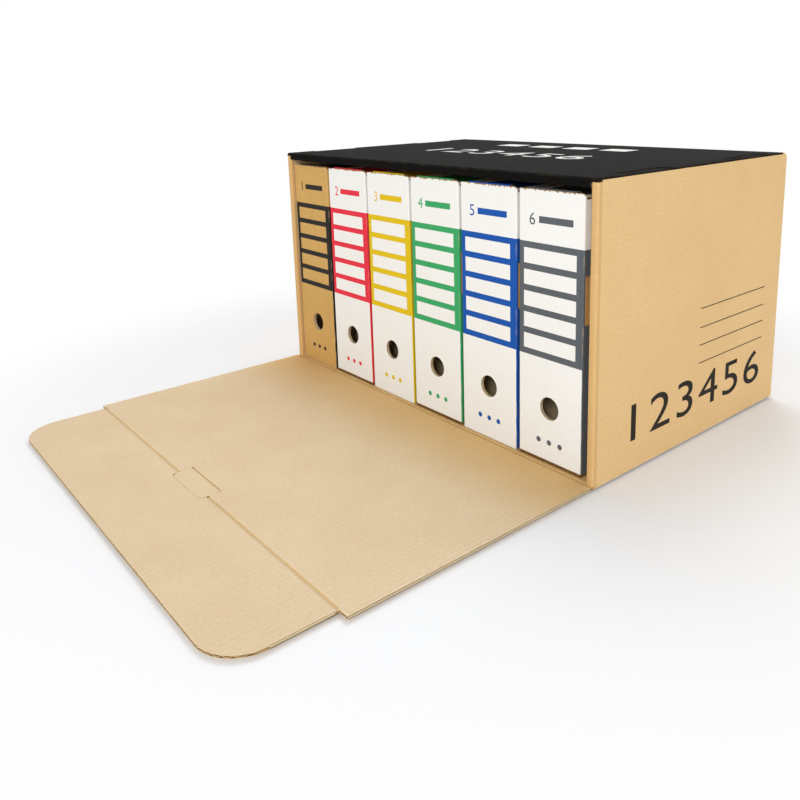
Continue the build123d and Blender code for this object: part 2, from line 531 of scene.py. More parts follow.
@dataclass(frozen=True)
class Outline:
    """A closed outline in a panel's own plane: across, along and corner radius of each corner."""

    corners: tuple[Triple, ...]
    steps: int = 8

    @classmethod
    def box(cls, low: Pair, high: Pair, radii: Sequence[float] = (0, 0, 0, 0)) -> "Outline":
        """Draws a rectangle between two corners, with radii going round from the lowest corner."""
        places = ((low[0], low[1]), (high[0], low[1]), (high[0], high[1]), (low[0], high[1]))
        return cls(tuple((p, s, r) for (p, s), r in zip(places, radii)))

    def face(self, level: float = 0.0) -> BMesh:
        """Draws the outline as one flat face with its corners rounded.

        Args:
            level: How far out the face lies.

        Returns:
            A mesh of one face.
        """
        mesh = bmesh.new()
        verts = [mesh.verts.new((p, s, level)) for p, s, _ in self.corners]
        mesh.faces.new(verts)
        for vert, (_, _, radius) in zip(verts, self.corners):
            if radius:
                bmesh.ops.bevel(mesh, geom=[vert], offset=radius, offset_type="ABSOLUTE", affect="VERTICES",
                                segments=self.steps, profile=0.5, material=-1)
        return mesh

    def prism(self, low: float, high: float) -> BMesh:
        """Draws the outline as a closed solid between two levels."""
        return extrude(self.face(low), high - low)


def disc(radius: float, steps: int) -> BMesh:
    """Draws a flat disc about the origin, with a number of chords round it."""
    bmesh.ops.create_circle(mesh := bmesh.new(), cap_ends=True, segments=steps, radius=radius)
    return mesh


def digits(words: str, spread: float = 1.0) -> BMesh:
    """Draws plain digits as flat faces.

    Args:
        words: The digits.
        spread: The space between them.

    Returns:
        A flat mesh.
    """
    curve = bpy.data.curves.new("digits", "FONT")
    curve.body, curve.space_character = words, spread
    holder = link("digits", curve)
    mesh = drawn(holder)
    bpy.data.objects.remove(holder)
    bpy.data.curves.remove(curve)
    bmesh.ops.remove_doubles(mesh, verts=mesh.verts[:], dist=DIGIT_MERGE)
    slivers = [face for face in mesh.faces if face.calc_area() < DIGIT_SLIVER]
    bmesh.ops.delete(mesh, geom=slivers, context="FACES_ONLY")
    return mesh


class Piece:
    """A mesh in the making, in a panel's own axes, with the finishes that its faces use."""

    SHARP = math.radians(32)
    FILM = 0.00012
    PROUD = 0.00004
    OUTWARD = -0.2
    ON_LINE = 1e-7
    HALF_GRID = 0.5

    def __init__(self, name: str, lay: Lay, finishes: Finishes, node: Optional[str] = None) -> None:
        """Starts an empty piece.

        Args:
            name: The object's name.
            lay: How the panel lies.
            finishes: The grade of board and its raw edge.
            node: The node that the piece replaces, if any.
        """
        self.name, self.lay, self.node = name, lay, node
        self.grade, self.raw = finishes.board, finishes.raw
        self.mesh = bmesh.new()
        self.finishes: dict[Finish, int] = {}

    def index(self, finish: Finish) -> int:
        """Gives the number of a finish, which is added if it is new."""
        return self.finishes.setdefault(finish, len(self.finishes))

    def coat(self, faces: Iterable[BMFace], finish: Finish) -> None:
        """Gives faces a finish."""
        for face in faces:
            face.material_index = self.index(finish)

    def sheet(self, profile: Profile, stations: Sequence[float], skin: Finish,
              inside: Optional[Finish] = None, paper: Optional[float] = None,
              relief: Optional[Callable[[float], float]] = None, flip: bool = False) -> None:
        """Adds a sheet of paper that follows a profile.

        Args:
            profile: The places across the sheet and their levels.
            stations: The places along it.
            skin: The finish of the outer face.
            inside: The finish of the other faces, or None for raw board.
            paper: The thickness, which goes inwards, or None for a liner's.
            relief: How far the sheet stands out at each place along it.
            flip: True if the outer face looks inwards.
        """
        across, along, half = len(profile) - 1, len(stations) - 1, self.HALF_GRID
        verts = bmesh.ops.create_grid(self.mesh, x_segments=across, y_segments=along, size=half)["verts"]
        for vert in verts:
            p, q = profile[round((vert.co.x + half) * across)]
            vert.co = (p, stations[round((vert.co.y + half) * along)], q)
        faces = list(dict.fromkeys(face for vert in verts for face in vert.link_faces))
        if flip:
            bmesh.ops.reverse_faces(self.mesh, faces=faces)
        if relief:
            self.mesh.normal_update()
            for vert, shift in [(vert, vert.normal * relief(vert.co.y)) for vert in verts]:
                vert.co += shift
        self.coat(faces, skin)
        self.mesh.normal_update()
        outside = set(self.mesh.faces)
        bmesh.ops.solidify(self.mesh, geom=faces, thickness=paper or self.grade.liner)
        self.coat([face for face in self.mesh.faces if face not in outside], inside or self.raw)

    def board(self, low: Vector, high: Vector, outer: Finish, inner: Finish, raw: Optional[Finish] = None,
              fold: float = 0.0) -> None:
        """Adds a flat panel of corrugated board whose flutes run along it.

        Args:
            low: The panel's lowest corner, in its own axes.
            high: Its highest corner.
            outer: The finish of the outer face.
            inner: The finish of the inner face.
            raw: The finish of the medium and of cut edges, or None for raw board.
            fold: The radius at which the outer liner turns down at both ends, or 0.
        """
        grade, raw = self.grade, raw or self.raw
        (p0, s0, q0), (p1, s1, q1) = low, high
        profile, tuck = grade.face(p0 + fold, p1 - fold, q1), 0.0
        if fold:
            ends = arc((p0 + fold, q1 - fold), fold, 180, 90), arc((p1 - fold, q1 - fold), fold, 90, 0)
            profile = [(p0, q0)] + ends[0] + profile[1:-1] + ends[1] + [(p1, q0)]
            tuck = 2 * grade.liner
        self.sheet(profile, (s0, s1), outer, raw)
        self.sheet(grade.face(p0 + tuck, p1 - tuck, q0, -1), (s0, s1), inner, raw, flip=True)
        self.sheet(grade.wave(p0 + fold, p1 - fold, q0, q1), (s0, s1), raw, raw, grade.medium)

    def cut(self, tool: BMesh, raw: Optional[Finish] = None, keep: bool = False) -> None:
        """Cuts the piece with a closed solid.

        Args:
            tool: The solid, which is used up.
            raw: The finish of the cut faces, or None for raw board.
            keep: True to keep what lies inside the solid, instead of what lies outside.
        """
        self.coat(tool.faces, raw or self.raw)
        piece, solid = (link("cut", bake(mesh, "cut", self.finishes)) for mesh in (self.mesh, tool))
        cutter = piece.modifiers.new("cut", "BOOLEAN")
        cutter.operation = "INTERSECT" if keep else "DIFFERENCE"
        cutter.solver, cutter.object = "EXACT", solid
        self.mesh = drawn(piece)
        for data in (piece.data, solid.data):
            bpy.data.meshes.remove(data)

    def skin(self, finish: Finish) -> list[BMFace]:
        """Lists the outward faces that have a finish."""
        self.mesh.normal_update()
        return [face for face in self.mesh.faces
                if face.material_index == self.index(finish) and face.normal.z > self.OUTWARD]

    def split(self, finish: Finish, axis: int, places: Iterable[float]) -> None:
        """Splits the outer skin along straight lines.

        Args:
            finish: The skin's finish.
            axis: 0 for lines at places across the panel, 1 for lines at places along it.
            places: Where the lines are.
        """
        for place in places:
            faces = self.skin(finish)
            around = {item for face in faces for item in (*face.edges, *face.verts)}
            point, normal = Vector(), Vector()
            point[axis], normal[axis] = place, 1
            bmesh.ops.bisect_plane(self.mesh, geom=faces + list(around), plane_co=point, plane_no=normal,
                                   dist=self.ON_LINE)

    def paint(self, finish: Finish, choose: Callable[[Vector], Finish]) -> None:
        """Gives each face of the skin that has a finish the one that is chosen for the face's middle."""
        for face in self.skin(finish):
            self.coat([face], choose(face.calc_center_median()))

    def film(self, shape: BMesh, size: Pair, place: Pair, level: float, finish: Finish,
             turn: float = 0) -> None:
        """Adds a thin film of print.

        Args:
            shape: The print as a flat mesh, which is used up.
            size: Its width and height. A width of 0 keeps the shape's own proportions.
            place: Where its middle goes, across and along.
            level: The level of the face that carries it.
            finish: The finish of the ink.
            turn: How far it is turned in the panel's plane, in degrees.
        """
        xs, ys = [vert.co.x for vert in shape.verts], [vert.co.y for vert in shape.verts]
        middle = Vector(((min(xs) + max(xs)) / 2, (min(ys) + max(ys)) / 2, 0))
        tall = size[1] / (max(ys) - min(ys))
        scale = Vector((size[0] / (max(xs) - min(xs)) if size[0] else tall, tall, 1))
        turned = Matrix.Rotation(math.radians(turn), 3, "Z")
        put = Matrix.LocRotScale(Vector((*place, level + self.PROUD)), turned, scale)
        bmesh.ops.transform(shape, matrix=put @ Matrix.Translation(-middle), verts=shape.verts[:])
        shape.normal_update()
        if shape.faces[:][0].normal.z < 0:
            bmesh.ops.reverse_faces(shape, faces=shape.faces[:])
        bmesh.ops.solidify(shape, geom=shape.faces[:], thickness=self.FILM)
        self.coat(shape.faces, finish)
        self.join(shape)

    def bar(self, size: Pair, place: Pair, level: float, finish: Finish, turn: float = 0) -> None:
        """Adds a film of print in the shape of a plain bar."""
        self.film(Outline.box((0, 0), (1, 1)).face(), size, place, level, finish, turn)

    def join(self, other: BMesh) -> None:
        """Joins another mesh to the piece and uses it up."""
        self.mesh.from_mesh(data := bake(other, "joined"))
        bpy.data.meshes.remove(data)

    def done(self, slot: str, body: Optional[str] = None) -> bpy.types.Object:
        """Turns the mesh into an object in the frame, which replaces its node if it has one.

        Args:
            slot: The record's material slot; not used.
            body: The body that the piece rides on, or None for one that rides on no body.

        Returns:
            The object.
        """
        bmesh.ops.transform(self.mesh, matrix=self.lay.matrix(), verts=self.mesh.verts[:])
        for face in self.mesh.faces:
            face.smooth = True
        data = bake(self.mesh, self.name, self.finishes)
        data.set_sharp_from_angle(angle=self.SHARP)
        made = link(self.name, data)
        if body:
            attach(made, body)
        if self.node:
            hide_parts(self.node)
        log.info("%s: %d faces", self.name, len(data.polygons))
        return made


KRAFT_OUT = Liner("kraft_outside", "E4C18B", "BE9356", "EFDAB2", mottle=0.25, fleck=0.15, band=0.05)
KRAFT_IN = Liner("kraft_inside", "E6CDA6", "BC9966", "EBD8B6", mottle=0.3, fleck=0.2, band=0.08)
# The rolls' outer paper, a darker copy of the walls' kraft: painted shade on the rolls' front faces.
KRAFT_ROLL_SHADED = Liner("kraft_roll", "D6AF76", "B0864A", "E4C592", mottle=0.25, fleck=0.15, band=0.05, wear=0.3)
# The crease's groove, painted darker on its half towards the case and darker still near the case: painted
# shade.
CREASE_SHADE = Liner("pressed_kraft", "CFB285", "A8844E", "CFB285", mottle=0.35, fleck=0.2, band=0.0,
                deep="C0965A", span=(-0.36, -0.18))
# The flap's inner paper, painted darker towards the case: painted shade near the hinge, which covers the
# case's floor wholly.
KRAFT_FLAP_SHADED = Liner("kraft_flap", "DDC8A7", "BC9967", "EFDDBF", mottle=0.3, fleck=0.2, band=0.08,
                   deep="D8B379", span=(-0.31, -0.18))
CUT_EDGE = Liner("cut_edge", "E4CFA8", "AE8A56", "E9D8B8", roughness=0.85, specular=0.1, mottle=0.4,
                 fleck=0.4, band=0.0)
# Raw board painted darker than the rest: painted shade on the base's front edge under the file fronts.
BASE_EDGE_SHADED = Liner("base_edge", "A47C48", "5E4222", "A47C48", roughness=0.9, specular=0.05, mottle=0.6,
                  fleck=0.6, band=0.0)
# Kraft brighter than the boxes' own, a painted light in the notch's recess.
NOTCH_KRAFT_LIT = Liner("notch_kraft", "F0BE78", "C08A48", "F0BE78", mottle=0.3, fleck=0.3, band=0.1)
RAW_EDGE = Liner("raw_edge", "BE9A66", "7A5830", "C9A675", roughness=0.85, specular=0.1, mottle=0.7,
                 fleck=0.6, band=0.0)
BLACK_TOP = Liner("black_print", "131211", "0A0A09", "5E4C34", roughness=0.8, specular=0.04, mottle=0.5,
                  fleck=0.2, band=0.25, wear=0.2)
WHITE_FACE = Liner("white_print", "EFEFEC", "D8D5CE", "D9CBB2", roughness=0.6, specular=0.2, mottle=0.12,
                   fleck=0.1, band=0.05)
KRAFT_FACE = Liner("kraft_print", "D2A862", "A9803F", "E3C588", roughness=0.65)
WHITE_INK = Liner("white_ink", "F1F0EC", "A9A8A4", "F1F0EC", mottle=0.15, fleck=0.6, band=0.1)
DARK_INK = Liner("dark_ink", "211F1C", "4B4238", "211F1C", specular=0.1, mottle=0.2, fleck=0.5, band=0.1)


class Ink(Enum):
    """The label colour of each file box: the record's slot word, then the colour and its darker tone."""

    BLACK = ("black", "2B2926", "171614")
    RED = ("red", "E8384A", "BB2233")
    YELLOW = ("yellow", "E3C21B", "BC9C0C")
    GREEN = ("green", "3FA868", "2B8450")
    BLUE = ("blue", "1C57AE", "123F86")
    GREY = ("grey", "5F6469", "494D52")

    def liner(self) -> Liner:
        """Gives the printed paper of this colour."""
        word, colour, dark = self.value
        return Liner(f"{word}_ink", colour, dark, "CDB48C", roughness=0.68, specular=0.12, mottle=0.25,
                     fleck=0.25, band=0.1)

    def slot(self) -> str:
        """Gives the record's slot of this colour."""
        return f"{self.value[0]}_print"


@dataclass
class Assembly:
    """A sub-assembly of pieces in one grade of board. Each kind sets rub, the box whose edges are rubbed."""

    finishes: Finishes

    def __post_init__(self) -> None:
        """Takes the grade of board and its raw edge from the finishes."""
        self.board, self.raw = self.finishes.board, self.finishes.raw

    def paper(self, liner: Liner, lay: Lay) -> Finish:
        """Gives one of the papers with its edges rubbed."""
        return self.finishes.paper(liner, lay, self.rub)

    def piece(self, node: str, lay: Lay) -> Piece:
        """Starts the piece that replaces a node."""
        return Piece(f"{node}_board", lay, self.finishes, node)


@dataclass
class Case(Assembly):
    """The case: bottom, back, rolled side walls, and a black top with a rolled lip and lock tabs."""

    fold: float = 0.002
    fold_step: int = 15
    bend: float = 0.0095
    tab_corner: float = 0.004
    tab_round: float = 0.0004
    tab_steps: int = 2
    tab_under: float = -0.3
    lip_round: float = 0.003
    roll_drop: float = 0.004
    tab_sink: float = 0.0008
    cut_room: float = 0.0003
    overrun: float = 0.002
    rub_width: float = 0.004
    numbers: str = "123456"
    number_spread: float = 1.12
    wall_number_size: Pair = (0.262, 0.041)
    wall_number_place: Pair = (0.192, 0.052)
    line_size: Pair = (0.14, 0.0011)
    line_heights: tuple[float, ...] = (0.150, 0.128, 0.1075, 0.0865)
    line_middle: float = 0.255
    top_number_size: Pair = (0.27, 0.05)
    top_number_place: float = 0.165
    top_bar_size: Pair = (0.042, 0.03)
    top_bar_place: float = 0.28
    top_bar_pitch: float = 0.063
    top_bar_count: int = 4

    def __post_init__(self) -> None:
        """Reads the case's faces from the frame."""
        super().__post_init__()
        (_, self.front, _), (self.half, self.back, self.thick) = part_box("bottom_panel")
        (self.inner, _, _), (_, _, self.height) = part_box("right_outer_wall")
        self.lip_low, self.lip_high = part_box("top_roll")
        middle = self.height / 2
        self.rub = Rub("case", (0, 0, middle), (self.half, self.back, middle), self.rub_width)

    def build(self) -> None:
        """Builds every piece of the case."""
        self.build_bottom()
        self.build_back()
        for side, lay in zip(SIDES, (Lay.LEFT_WALL, Lay.RIGHT_WALL)):
            self.build_wall(side, lay)
            self.build_roll(side)
            for end in ENDS:
                self.build_lock_tab(f"{side}_{end}_lock_tab")
        self.build_top()
        self.build_lip()
        self.dress_hidden()

    def build_bottom(self) -> None:
        """Builds the bottom, whose flutes run from front to back."""
        low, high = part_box("bottom_panel")
        low = Vector((-self.inner, self.front + FrontClosure.crease_reach, low.z))
        high = Vector((self.inner, self.back - self.thick, high.z))
        piece = self.piece("bottom_panel", Lay.FLOOR)
        # The bottom's inner face takes the flap's paper, so it lies wholly in that painted shade.
        piece.board(low, high, self.paper(KRAFT_FLAP_SHADED, Lay.FLOOR), self.paper(KRAFT_OUT, Lay.FLOOR))
        piece.done("kraft_board", "case")

    def build_back(self) -> None:
        """Builds the back, whose flutes are upright."""
        low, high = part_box("back_panel")
        low, high = Vector((low.x, low.y, 0)), Vector((high.x, high.y, self.height - self.bend))
        piece = self.piece("back_panel", Lay.BACK)
        papers = (self.paper(liner, Lay.BACK) for liner in (KRAFT_OUT, KRAFT_IN))
        piece.board(*Lay.BACK.extent(low, high), *papers)
        piece.done("kraft_board", "case")

    def build_wall(self, side: str, lay: Lay) -> None:
        """Builds a side wall's outer layer, with its writing lines and plain numbers.

        Args:
            side: The word for the side.
            lay: How the wall lies.
        """
        low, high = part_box(f"{side}_outer_wall")
        near, over = low.y - self.overrun, self.overrun
        up = 1 if lay is Lay.LEFT_WALL else -1
        low, high = lay.extent(Vector((low.x, low.y, 0)), high)
        piece = self.piece(f"{side}_outer_wall", lay)
        piece.board(low, high, self.paper(KRAFT_OUT, lay), self.paper(KRAFT_IN, lay))
        base, step, top = -up * over, up * (self.height - self.fold), up * self.height
        corner = self.back - self.bend - self.cut_room
        outline = Outline(((base, near, 0), (base, self.back, 0), (top, self.back, self.bend),
                           (top, corner, 0), (step, corner, 0), (step, near, 0)))
        piece.cut(outline.prism(low.z - over, high.z + over), keep=True)
        ink, turn = self.finishes.paper(DARK_INK, lay), -90 * up
        for height in self.line_heights:
            piece.bar(self.line_size, (up * height, self.front + self.line_middle), high.z, ink, turn)
        along, height = self.wall_number_place
        piece.film(digits(self.numbers, self.number_spread), self.wall_number_size,
                   (up * height, self.front + along), high.z, ink, turn)
        piece.done("kraft_board", "case")

    def build_roll(self, side: str) -> None:
        """Builds the rolled front edge of a side wall.

        Args:
            side: The word for the side.
        """
        low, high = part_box(f"{side}_front_roll")
        (left, base, back), (right, top, face) = Lay.FRONT.extent(Vector((low.x, low.y, 0)), high)
        radius, inset = self.lip_round, self.board.liner
        first, last, turn = left + radius, right - radius, face - radius
        profile = [(left, back), *arc((first, turn), radius, 180, 90), *arc((last, turn), radius, 90, 0),
                   (right, back)]
        core = [(left + inset, back), (left + inset, turn), (first, face - inset), (last, face - inset),
                (right - inset, turn), (right - inset, back)]
        piece = self.piece(f"{side}_front_roll", Lay.FRONT)
        stations = self.board.run(base, top - self.roll_drop)
        # The roll's skin takes the darker kraft, a painted shade.
        piece.sheet(profile, stations, self.paper(KRAFT_ROLL_SHADED, Lay.RIGHT_WALL),
                    relief=lambda place: -self.board.sink(place))
        piece.sheet(core, (stations[0], stations[-1]), self.raw, paper=self.thick - 2 * inset)
        piece.done("kraft_board", "case")

    def build_lock_tab(self, node: str) -> None:
        """Builds a lock tab, which lies sunk in a notch of the top.

        Args:
            node: The tab's node.
        """
        low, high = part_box(node)
        top, corner, room = self.height - self.tab_sink, self.tab_corner, self.cut_room
        inner, outer = (low.x, high.x - room) if low.x > 0 else (high.x, low.x + room)
        tab = Outline.box((inner, low.y), (outer, high.y), (corner, 0, 0, corner)).prism(low.z, top)
        rim = [edge for edge in tab.edges if all(vert.co.z > (low.z + top) / 2 for vert in edge.verts)]
        bmesh.ops.bevel(tab, geom=rim, offset=self.tab_round, affect="EDGES", segments=self.tab_steps,
                        profile=0.5, material=-1)
        piece, black = self.piece(node, Lay.FLOOR), self.finishes.paper(BLACK_TOP, Lay.FLOOR)
        tab.normal_update()
        for face in tab.faces:
            piece.coat([face], black if face.normal.z > self.tab_under else self.raw)
        piece.join(tab)
        piece.done("black_print", "case")

    def stations(self) -> list[float]:
        """Lists the places along the top's width, close together where its sides turn down.

        Returns:
            The places in order.
        """
        turns = [math.cos(math.radians(a)) for a in range(0, 90, self.fold_step)]
        edge = [self.half - self.fold * (1 - turn) for turn in turns]
        flat = self.half - self.fold
        return [-place for place in edge] + self.board.run(-flat, flat) + edge[::-1]

    def turn_down(self, place: float) -> float:
        """Gives how far the top's skin stands out: it dips between flutes and turns down at the sides."""
        rest = max(0.0, self.fold - self.half + abs(place))
        return math.sqrt(max(0.0, self.fold ** 2 - rest ** 2)) - self.fold - self.board.sink(place)

    def build_top(self) -> None:
        """Builds the black top, which bends down at the back."""
        black, inside = self.paper(BLACK_TOP, Lay.TOP), self.paper(KRAFT_IN, Lay.TOP)
        centre = (self.bend - self.back, self.height - self.bend)
        thick, medium, reach = self.thick, self.board.medium, self.board.reach(0, self.thick)

        def layer(inset: float) -> Profile:
            """Gives the top's profile at a depth below its skin."""
            return arc(centre, self.bend - inset, 180, 90) + [(-self.lip_high.y, self.height - inset)]

        piece = self.piece("top_panel", Lay.TOP)
        piece.sheet(layer(0), self.stations(), black, relief=self.turn_down)
        piece.sheet(layer((thick - medium) / 2), self.board.run(-self.inner, self.inner), self.raw,
                    paper=medium, relief=lambda place: reach * self.board.phase(place))
        piece.sheet(layer(thick), (-self.inner, self.inner), inside, flip=True)
        self.cut_notches(piece, black)
        self.print_top(piece)
        piece.done("black_print", "case")

    def cut_notches(self, piece: Piece, black: Finish) -> None:
        """Cuts the notches of the lock tabs, and the corners where the walls come up.

        Args:
            piece: The top.
            black: The finish of its skin.
        """
        low, high = self.height - self.bend - self.overrun, self.height + self.overrun
        room, radii = self.cut_room, (self.tab_corner, self.tab_corner, 0, 0)
        for sign, side in zip((-1, 1), SIDES):
            outer = sign * (self.half + self.overrun)
            for end in ENDS:
                tab_low, tab_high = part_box(f"{side}_{end}_lock_tab")
                inner = (tab_low.x if sign > 0 else tab_high.x) - sign * room
                notch = Outline.box((-tab_high.y - room, inner), (-tab_low.y + room, outer), radii)
                piece.cut(notch.prism(low + self.bend - self.thick, high), black)
            near, far = -self.back - self.overrun, self.bend - self.back
            piece.cut(Outline.box((near, sign * self.inner), (far, outer)).prism(low, high))

    def print_top(self, piece: Piece) -> None:
        """Prints plain white numbers and bars on the top.

        Args:
            piece: The top.
        """
        ink, level, turn = self.finishes.paper(WHITE_INK, Lay.TOP), self.height, 90
        numbers, place = digits(self.numbers, self.number_spread), (-self.front - self.top_number_place, 0)
        piece.film(numbers, self.top_number_size, place, level, ink, turn)
        for count in range(self.top_bar_count):
            middle = (count - (self.top_bar_count - 1) / 2) * self.top_bar_pitch
            piece.bar(self.top_bar_size, (-self.front - self.top_bar_place, middle), level, ink, turn)

    def build_lip(self) -> None:
        """Builds the lip, the rolled front edge of the top, and its ends over the walls' rolled edges."""
        black, low, high = self.paper(BLACK_TOP, Lay.TOP), self.lip_low, self.lip_high
        radius, face = self.lip_round, -self.front
        over = [(-high.y, high.z)] + arc((face - radius, high.z - radius), radius, 90, 0)
        under = arc((face - radius, low.z + radius), radius, 0, -90) + [(-high.y, low.z)]
        cap = over + [(face, high.z - self.roll_drop)]
        left = [place for place in self.stations() if place < low.x] + [low.x]
        right = [high.x] + [place for place in self.stations() if place > high.x]
        piece = self.piece("top_roll", Lay.TOP)
        for profile, places in ((over + under, self.board.run(low.x, high.x)), (cap, left), (cap, right)):
            piece.sheet(profile, places, black, relief=self.turn_down)
        piece.done("black_print", "case")

    def dress_hidden(self) -> None:
        """Gives the inner layers their paper."""
        kinds = {"inner_wall": Lay.RIGHT_WALL, "dust_flap": Lay.RIGHT_WALL, "top_dust_flap": Lay.FLOOR}
        names = {"top_inner_panel": Lay.FLOOR}
        names |= {f"{side}_{kind}": lay for side in SIDES for kind, lay in kinds.items()}
        for name, lay in names.items():
            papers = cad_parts[name].data.materials
            papers.clear()
            papers.append(self.finishes.paper(KRAFT_IN, lay))


@dataclass
class FrontClosure(Assembly):
    """The front flap, its tuck flap and the pull tab, with the pressed creases between them."""

    crease_reach = 0.003
    tuck_reach: float = 0.0034
    score_reach: float = 0.0019
    crease_depth: float = 0.0014
    crease_shoulder: float = 0.0003
    crease_steps: int = 8
    core_drop: float = 0.00056
    core_thick: float = 0.0007
    # Where across the groove the painted shade lies.
    pressed_share: Pair = (-0.55, 0.1)
    slit: float = 0.00028
    notch_corner: float = 0.008
    tuck_corner_share: float = 0.4
    tuck_corner_steps: int = 12
    overrun: float = 0.002
    rub_width: float = 0.004

    def __post_init__(self) -> None:
        """Reads the flaps' places from the frame."""
        super().__post_init__()
        self.flap_low, self.flap_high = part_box("front_flap")
        self.tuck_low, self.tuck_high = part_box("tuck_flap")
        self.tab_low, self.tab_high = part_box("pull_tab")
        self.hinge = (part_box("bottom_panel")[0].y + self.flap_high.y) / 2
        self.crease = (self.flap_low.y + self.tuck_high.y) / 2
        self.score = self.tab_high.y + (self.flap_low.y - self.tuck_high.y) / 2
        middle, half = (self.flap_low + self.flap_high) / 2, (self.flap_high - self.flap_low) / 2
        self.rub = Rub("flap", tuple(middle), tuple(half), self.rub_width)
        self.cut_edge = self.finishes.paper(CUT_EDGE, Lay.FLOOR)
        self.inside, self.outside = self.paper(KRAFT_FLAP_SHADED, Lay.FLOOR), self.paper(KRAFT_OUT, Lay.FLOOR)

    def build(self) -> None:
        """Builds the flaps, the tab and the creases."""
        self.build_flap()
        self.build_tuck()
        self.build_tab()
        edge, tuck, tab = self.flap_high.x, self.tuck_high.x, self.tab_high.x
        room = tab + self.slit
        self.build_crease("flap_crease", self.hinge, self.crease_reach, [(-edge, edge)], "case", "front_flap")
        self.build_crease("tuck_crease", self.crease, self.tuck_reach, [(-tuck, -room), (room, tuck)],
                          "front_flap", "tuck_flap")
        self.build_crease("tab_score", self.score, self.score_reach, [(self.tab_low.x, tab)],
                          "front_flap", "pull_tab")

    def panel(self, node: str, outline: Outline, rub: Optional[Rub] = None) -> Piece:
        """Builds a flat panel and cuts it to its outline.

        Args:
            node: The panel's node.
            outline: The outline that is kept.
            rub: Where its paper is rubbed.

        Returns:
            The piece.
        """
        low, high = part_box(node)
        piece, over = self.piece(node, Lay.FLOOR), self.overrun
        room = Vector((over, over, 0))
        inside, outside = (self.finishes.paper(liner, Lay.FLOOR, rub) for liner in (KRAFT_FLAP_SHADED, KRAFT_OUT))
        piece.board(low - room, high + room, inside, outside)
        piece.cut(outline.prism(low.z - over, high.z + over), self.cut_edge, keep=True)
        return piece

    def close_sides(self, piece: Piece, low: Vector, high: Vector, run: Pair) -> None:
        """Closes a panel's side edges, where the cut runs along a flute.

        Args:
            piece: The panel.
            low: Its lowest corner.
            high: Its highest corner.
            run: Where the straight part of the edges starts and stops, along Y.
        """
        top, base = high.z - self.board.dip, low.z + self.board.dip
        for profile in ([(high.x, top), (high.x, base)], [(low.x, base), (low.x, top)]):
            piece.sheet(profile, run, self.cut_edge, self.cut_edge)

    def build_flap(self) -> None:
        """Builds the front flap, notched round the pull tab."""
        low, high, tuck = self.flap_low, self.flap_high, self.tuck_high.x
        near, far = self.crease + self.tuck_reach, self.hinge - self.crease_reach
        tab, root = self.tab_high.x + self.slit, self.score + self.score_reach
        places = ((low.x, low.y), (-tuck, low.y), (-tuck, near), (-tab, near), (-tab, root), (tab, root),
                  (tab, near), (tuck, near), (tuck, low.y), (high.x, low.y), (high.x, far), (low.x, far))
        piece = self.panel("front_flap", Outline(tuple((x, y, 0) for x, y in places)), self.rub)
        self.close_sides(piece, low, high, (low.y, far))
        piece.done("kraft_board", "front_flap")

    def build_tuck(self) -> None:
        """Builds the tuck flap, rounded at its front corners and round the end of the pull tab."""
        low, high, inner = self.tuck_low, self.tuck_high, self.notch_corner
        far, tab, end = self.crease - self.tuck_reach, self.tab_high.x + self.slit, self.tab_low.y - self.slit
        corner = (high.y - low.y) * self.tuck_corner_share
        corners = ((low.x, low.y, corner), (high.x, low.y, corner), (high.x, far, 0), (tab, far, 0),
                   (tab, end, inner), (-tab, end, inner), (-tab, far, 0), (low.x, far, 0))
        piece = self.panel("tuck_flap", Outline(corners, self.tuck_corner_steps), self.rub)
        self.close_sides(piece, low, high, (low.y + corner, far))
        piece.done("kraft_board", "tuck_flap")

    def build_tab(self) -> None:
        """Builds the pull tab."""
        low, high, corner = self.tab_low, self.tab_high, self.notch_corner
        outline = Outline.box((low.x, low.y), (high.x, self.score - self.score_reach), (corner, corner, 0, 0))
        self.panel("pull_tab", outline).done("kraft_board", "pull_tab")

    def build_crease(self, name: str, line: float, reach: float, runs: Sequence[Pair], fixed: str,
                     moved: str) -> None:
        """Builds a pressed crease at the line between two bodies, attached to neither.

        Args:
            name: The piece's name.
            line: Where the crease runs, along Y.
            reach: How far it goes to each side of that line.
            runs: The stretches of X that it covers.
            fixed: The body on its far side; not used.
            moved: The body on its near side; not used.
        """
        thick, steps = self.flap_high.z, self.crease_steps
        shares = [k / steps for k in range(-steps, steps + 1)]
        groove = [(share * reach - line, thick - self.crease_depth * math.cos(share * math.pi / 2) ** 2
                   + self.crease_shoulder * math.sin(abs(share) * math.pi) ** 2) for share in shares]
        under, core = [(p, 0.0) for p, _ in groove], [(p, q - self.core_drop) for p, q in groove]
        # The groove's half towards the case is painted darker: painted shade.
        pressed = self.finishes.paper(CREASE_SHADE, Lay.FLOOR)
        first, last = (share * reach for share in self.pressed_share)
        piece = Piece(name, Lay.TOP, self.finishes)
        for run in runs:
            piece.sheet(groove, self.board.run(*run), self.inside)
            piece.paint(self.inside, lambda place: pressed if first < place.x + line < last else self.inside)
            piece.sheet(core, run, self.raw, paper=self.core_thick)
            piece.sheet(under, run, self.outside, flip=True)
        made = piece.done("kraft_board")
        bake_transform(made)


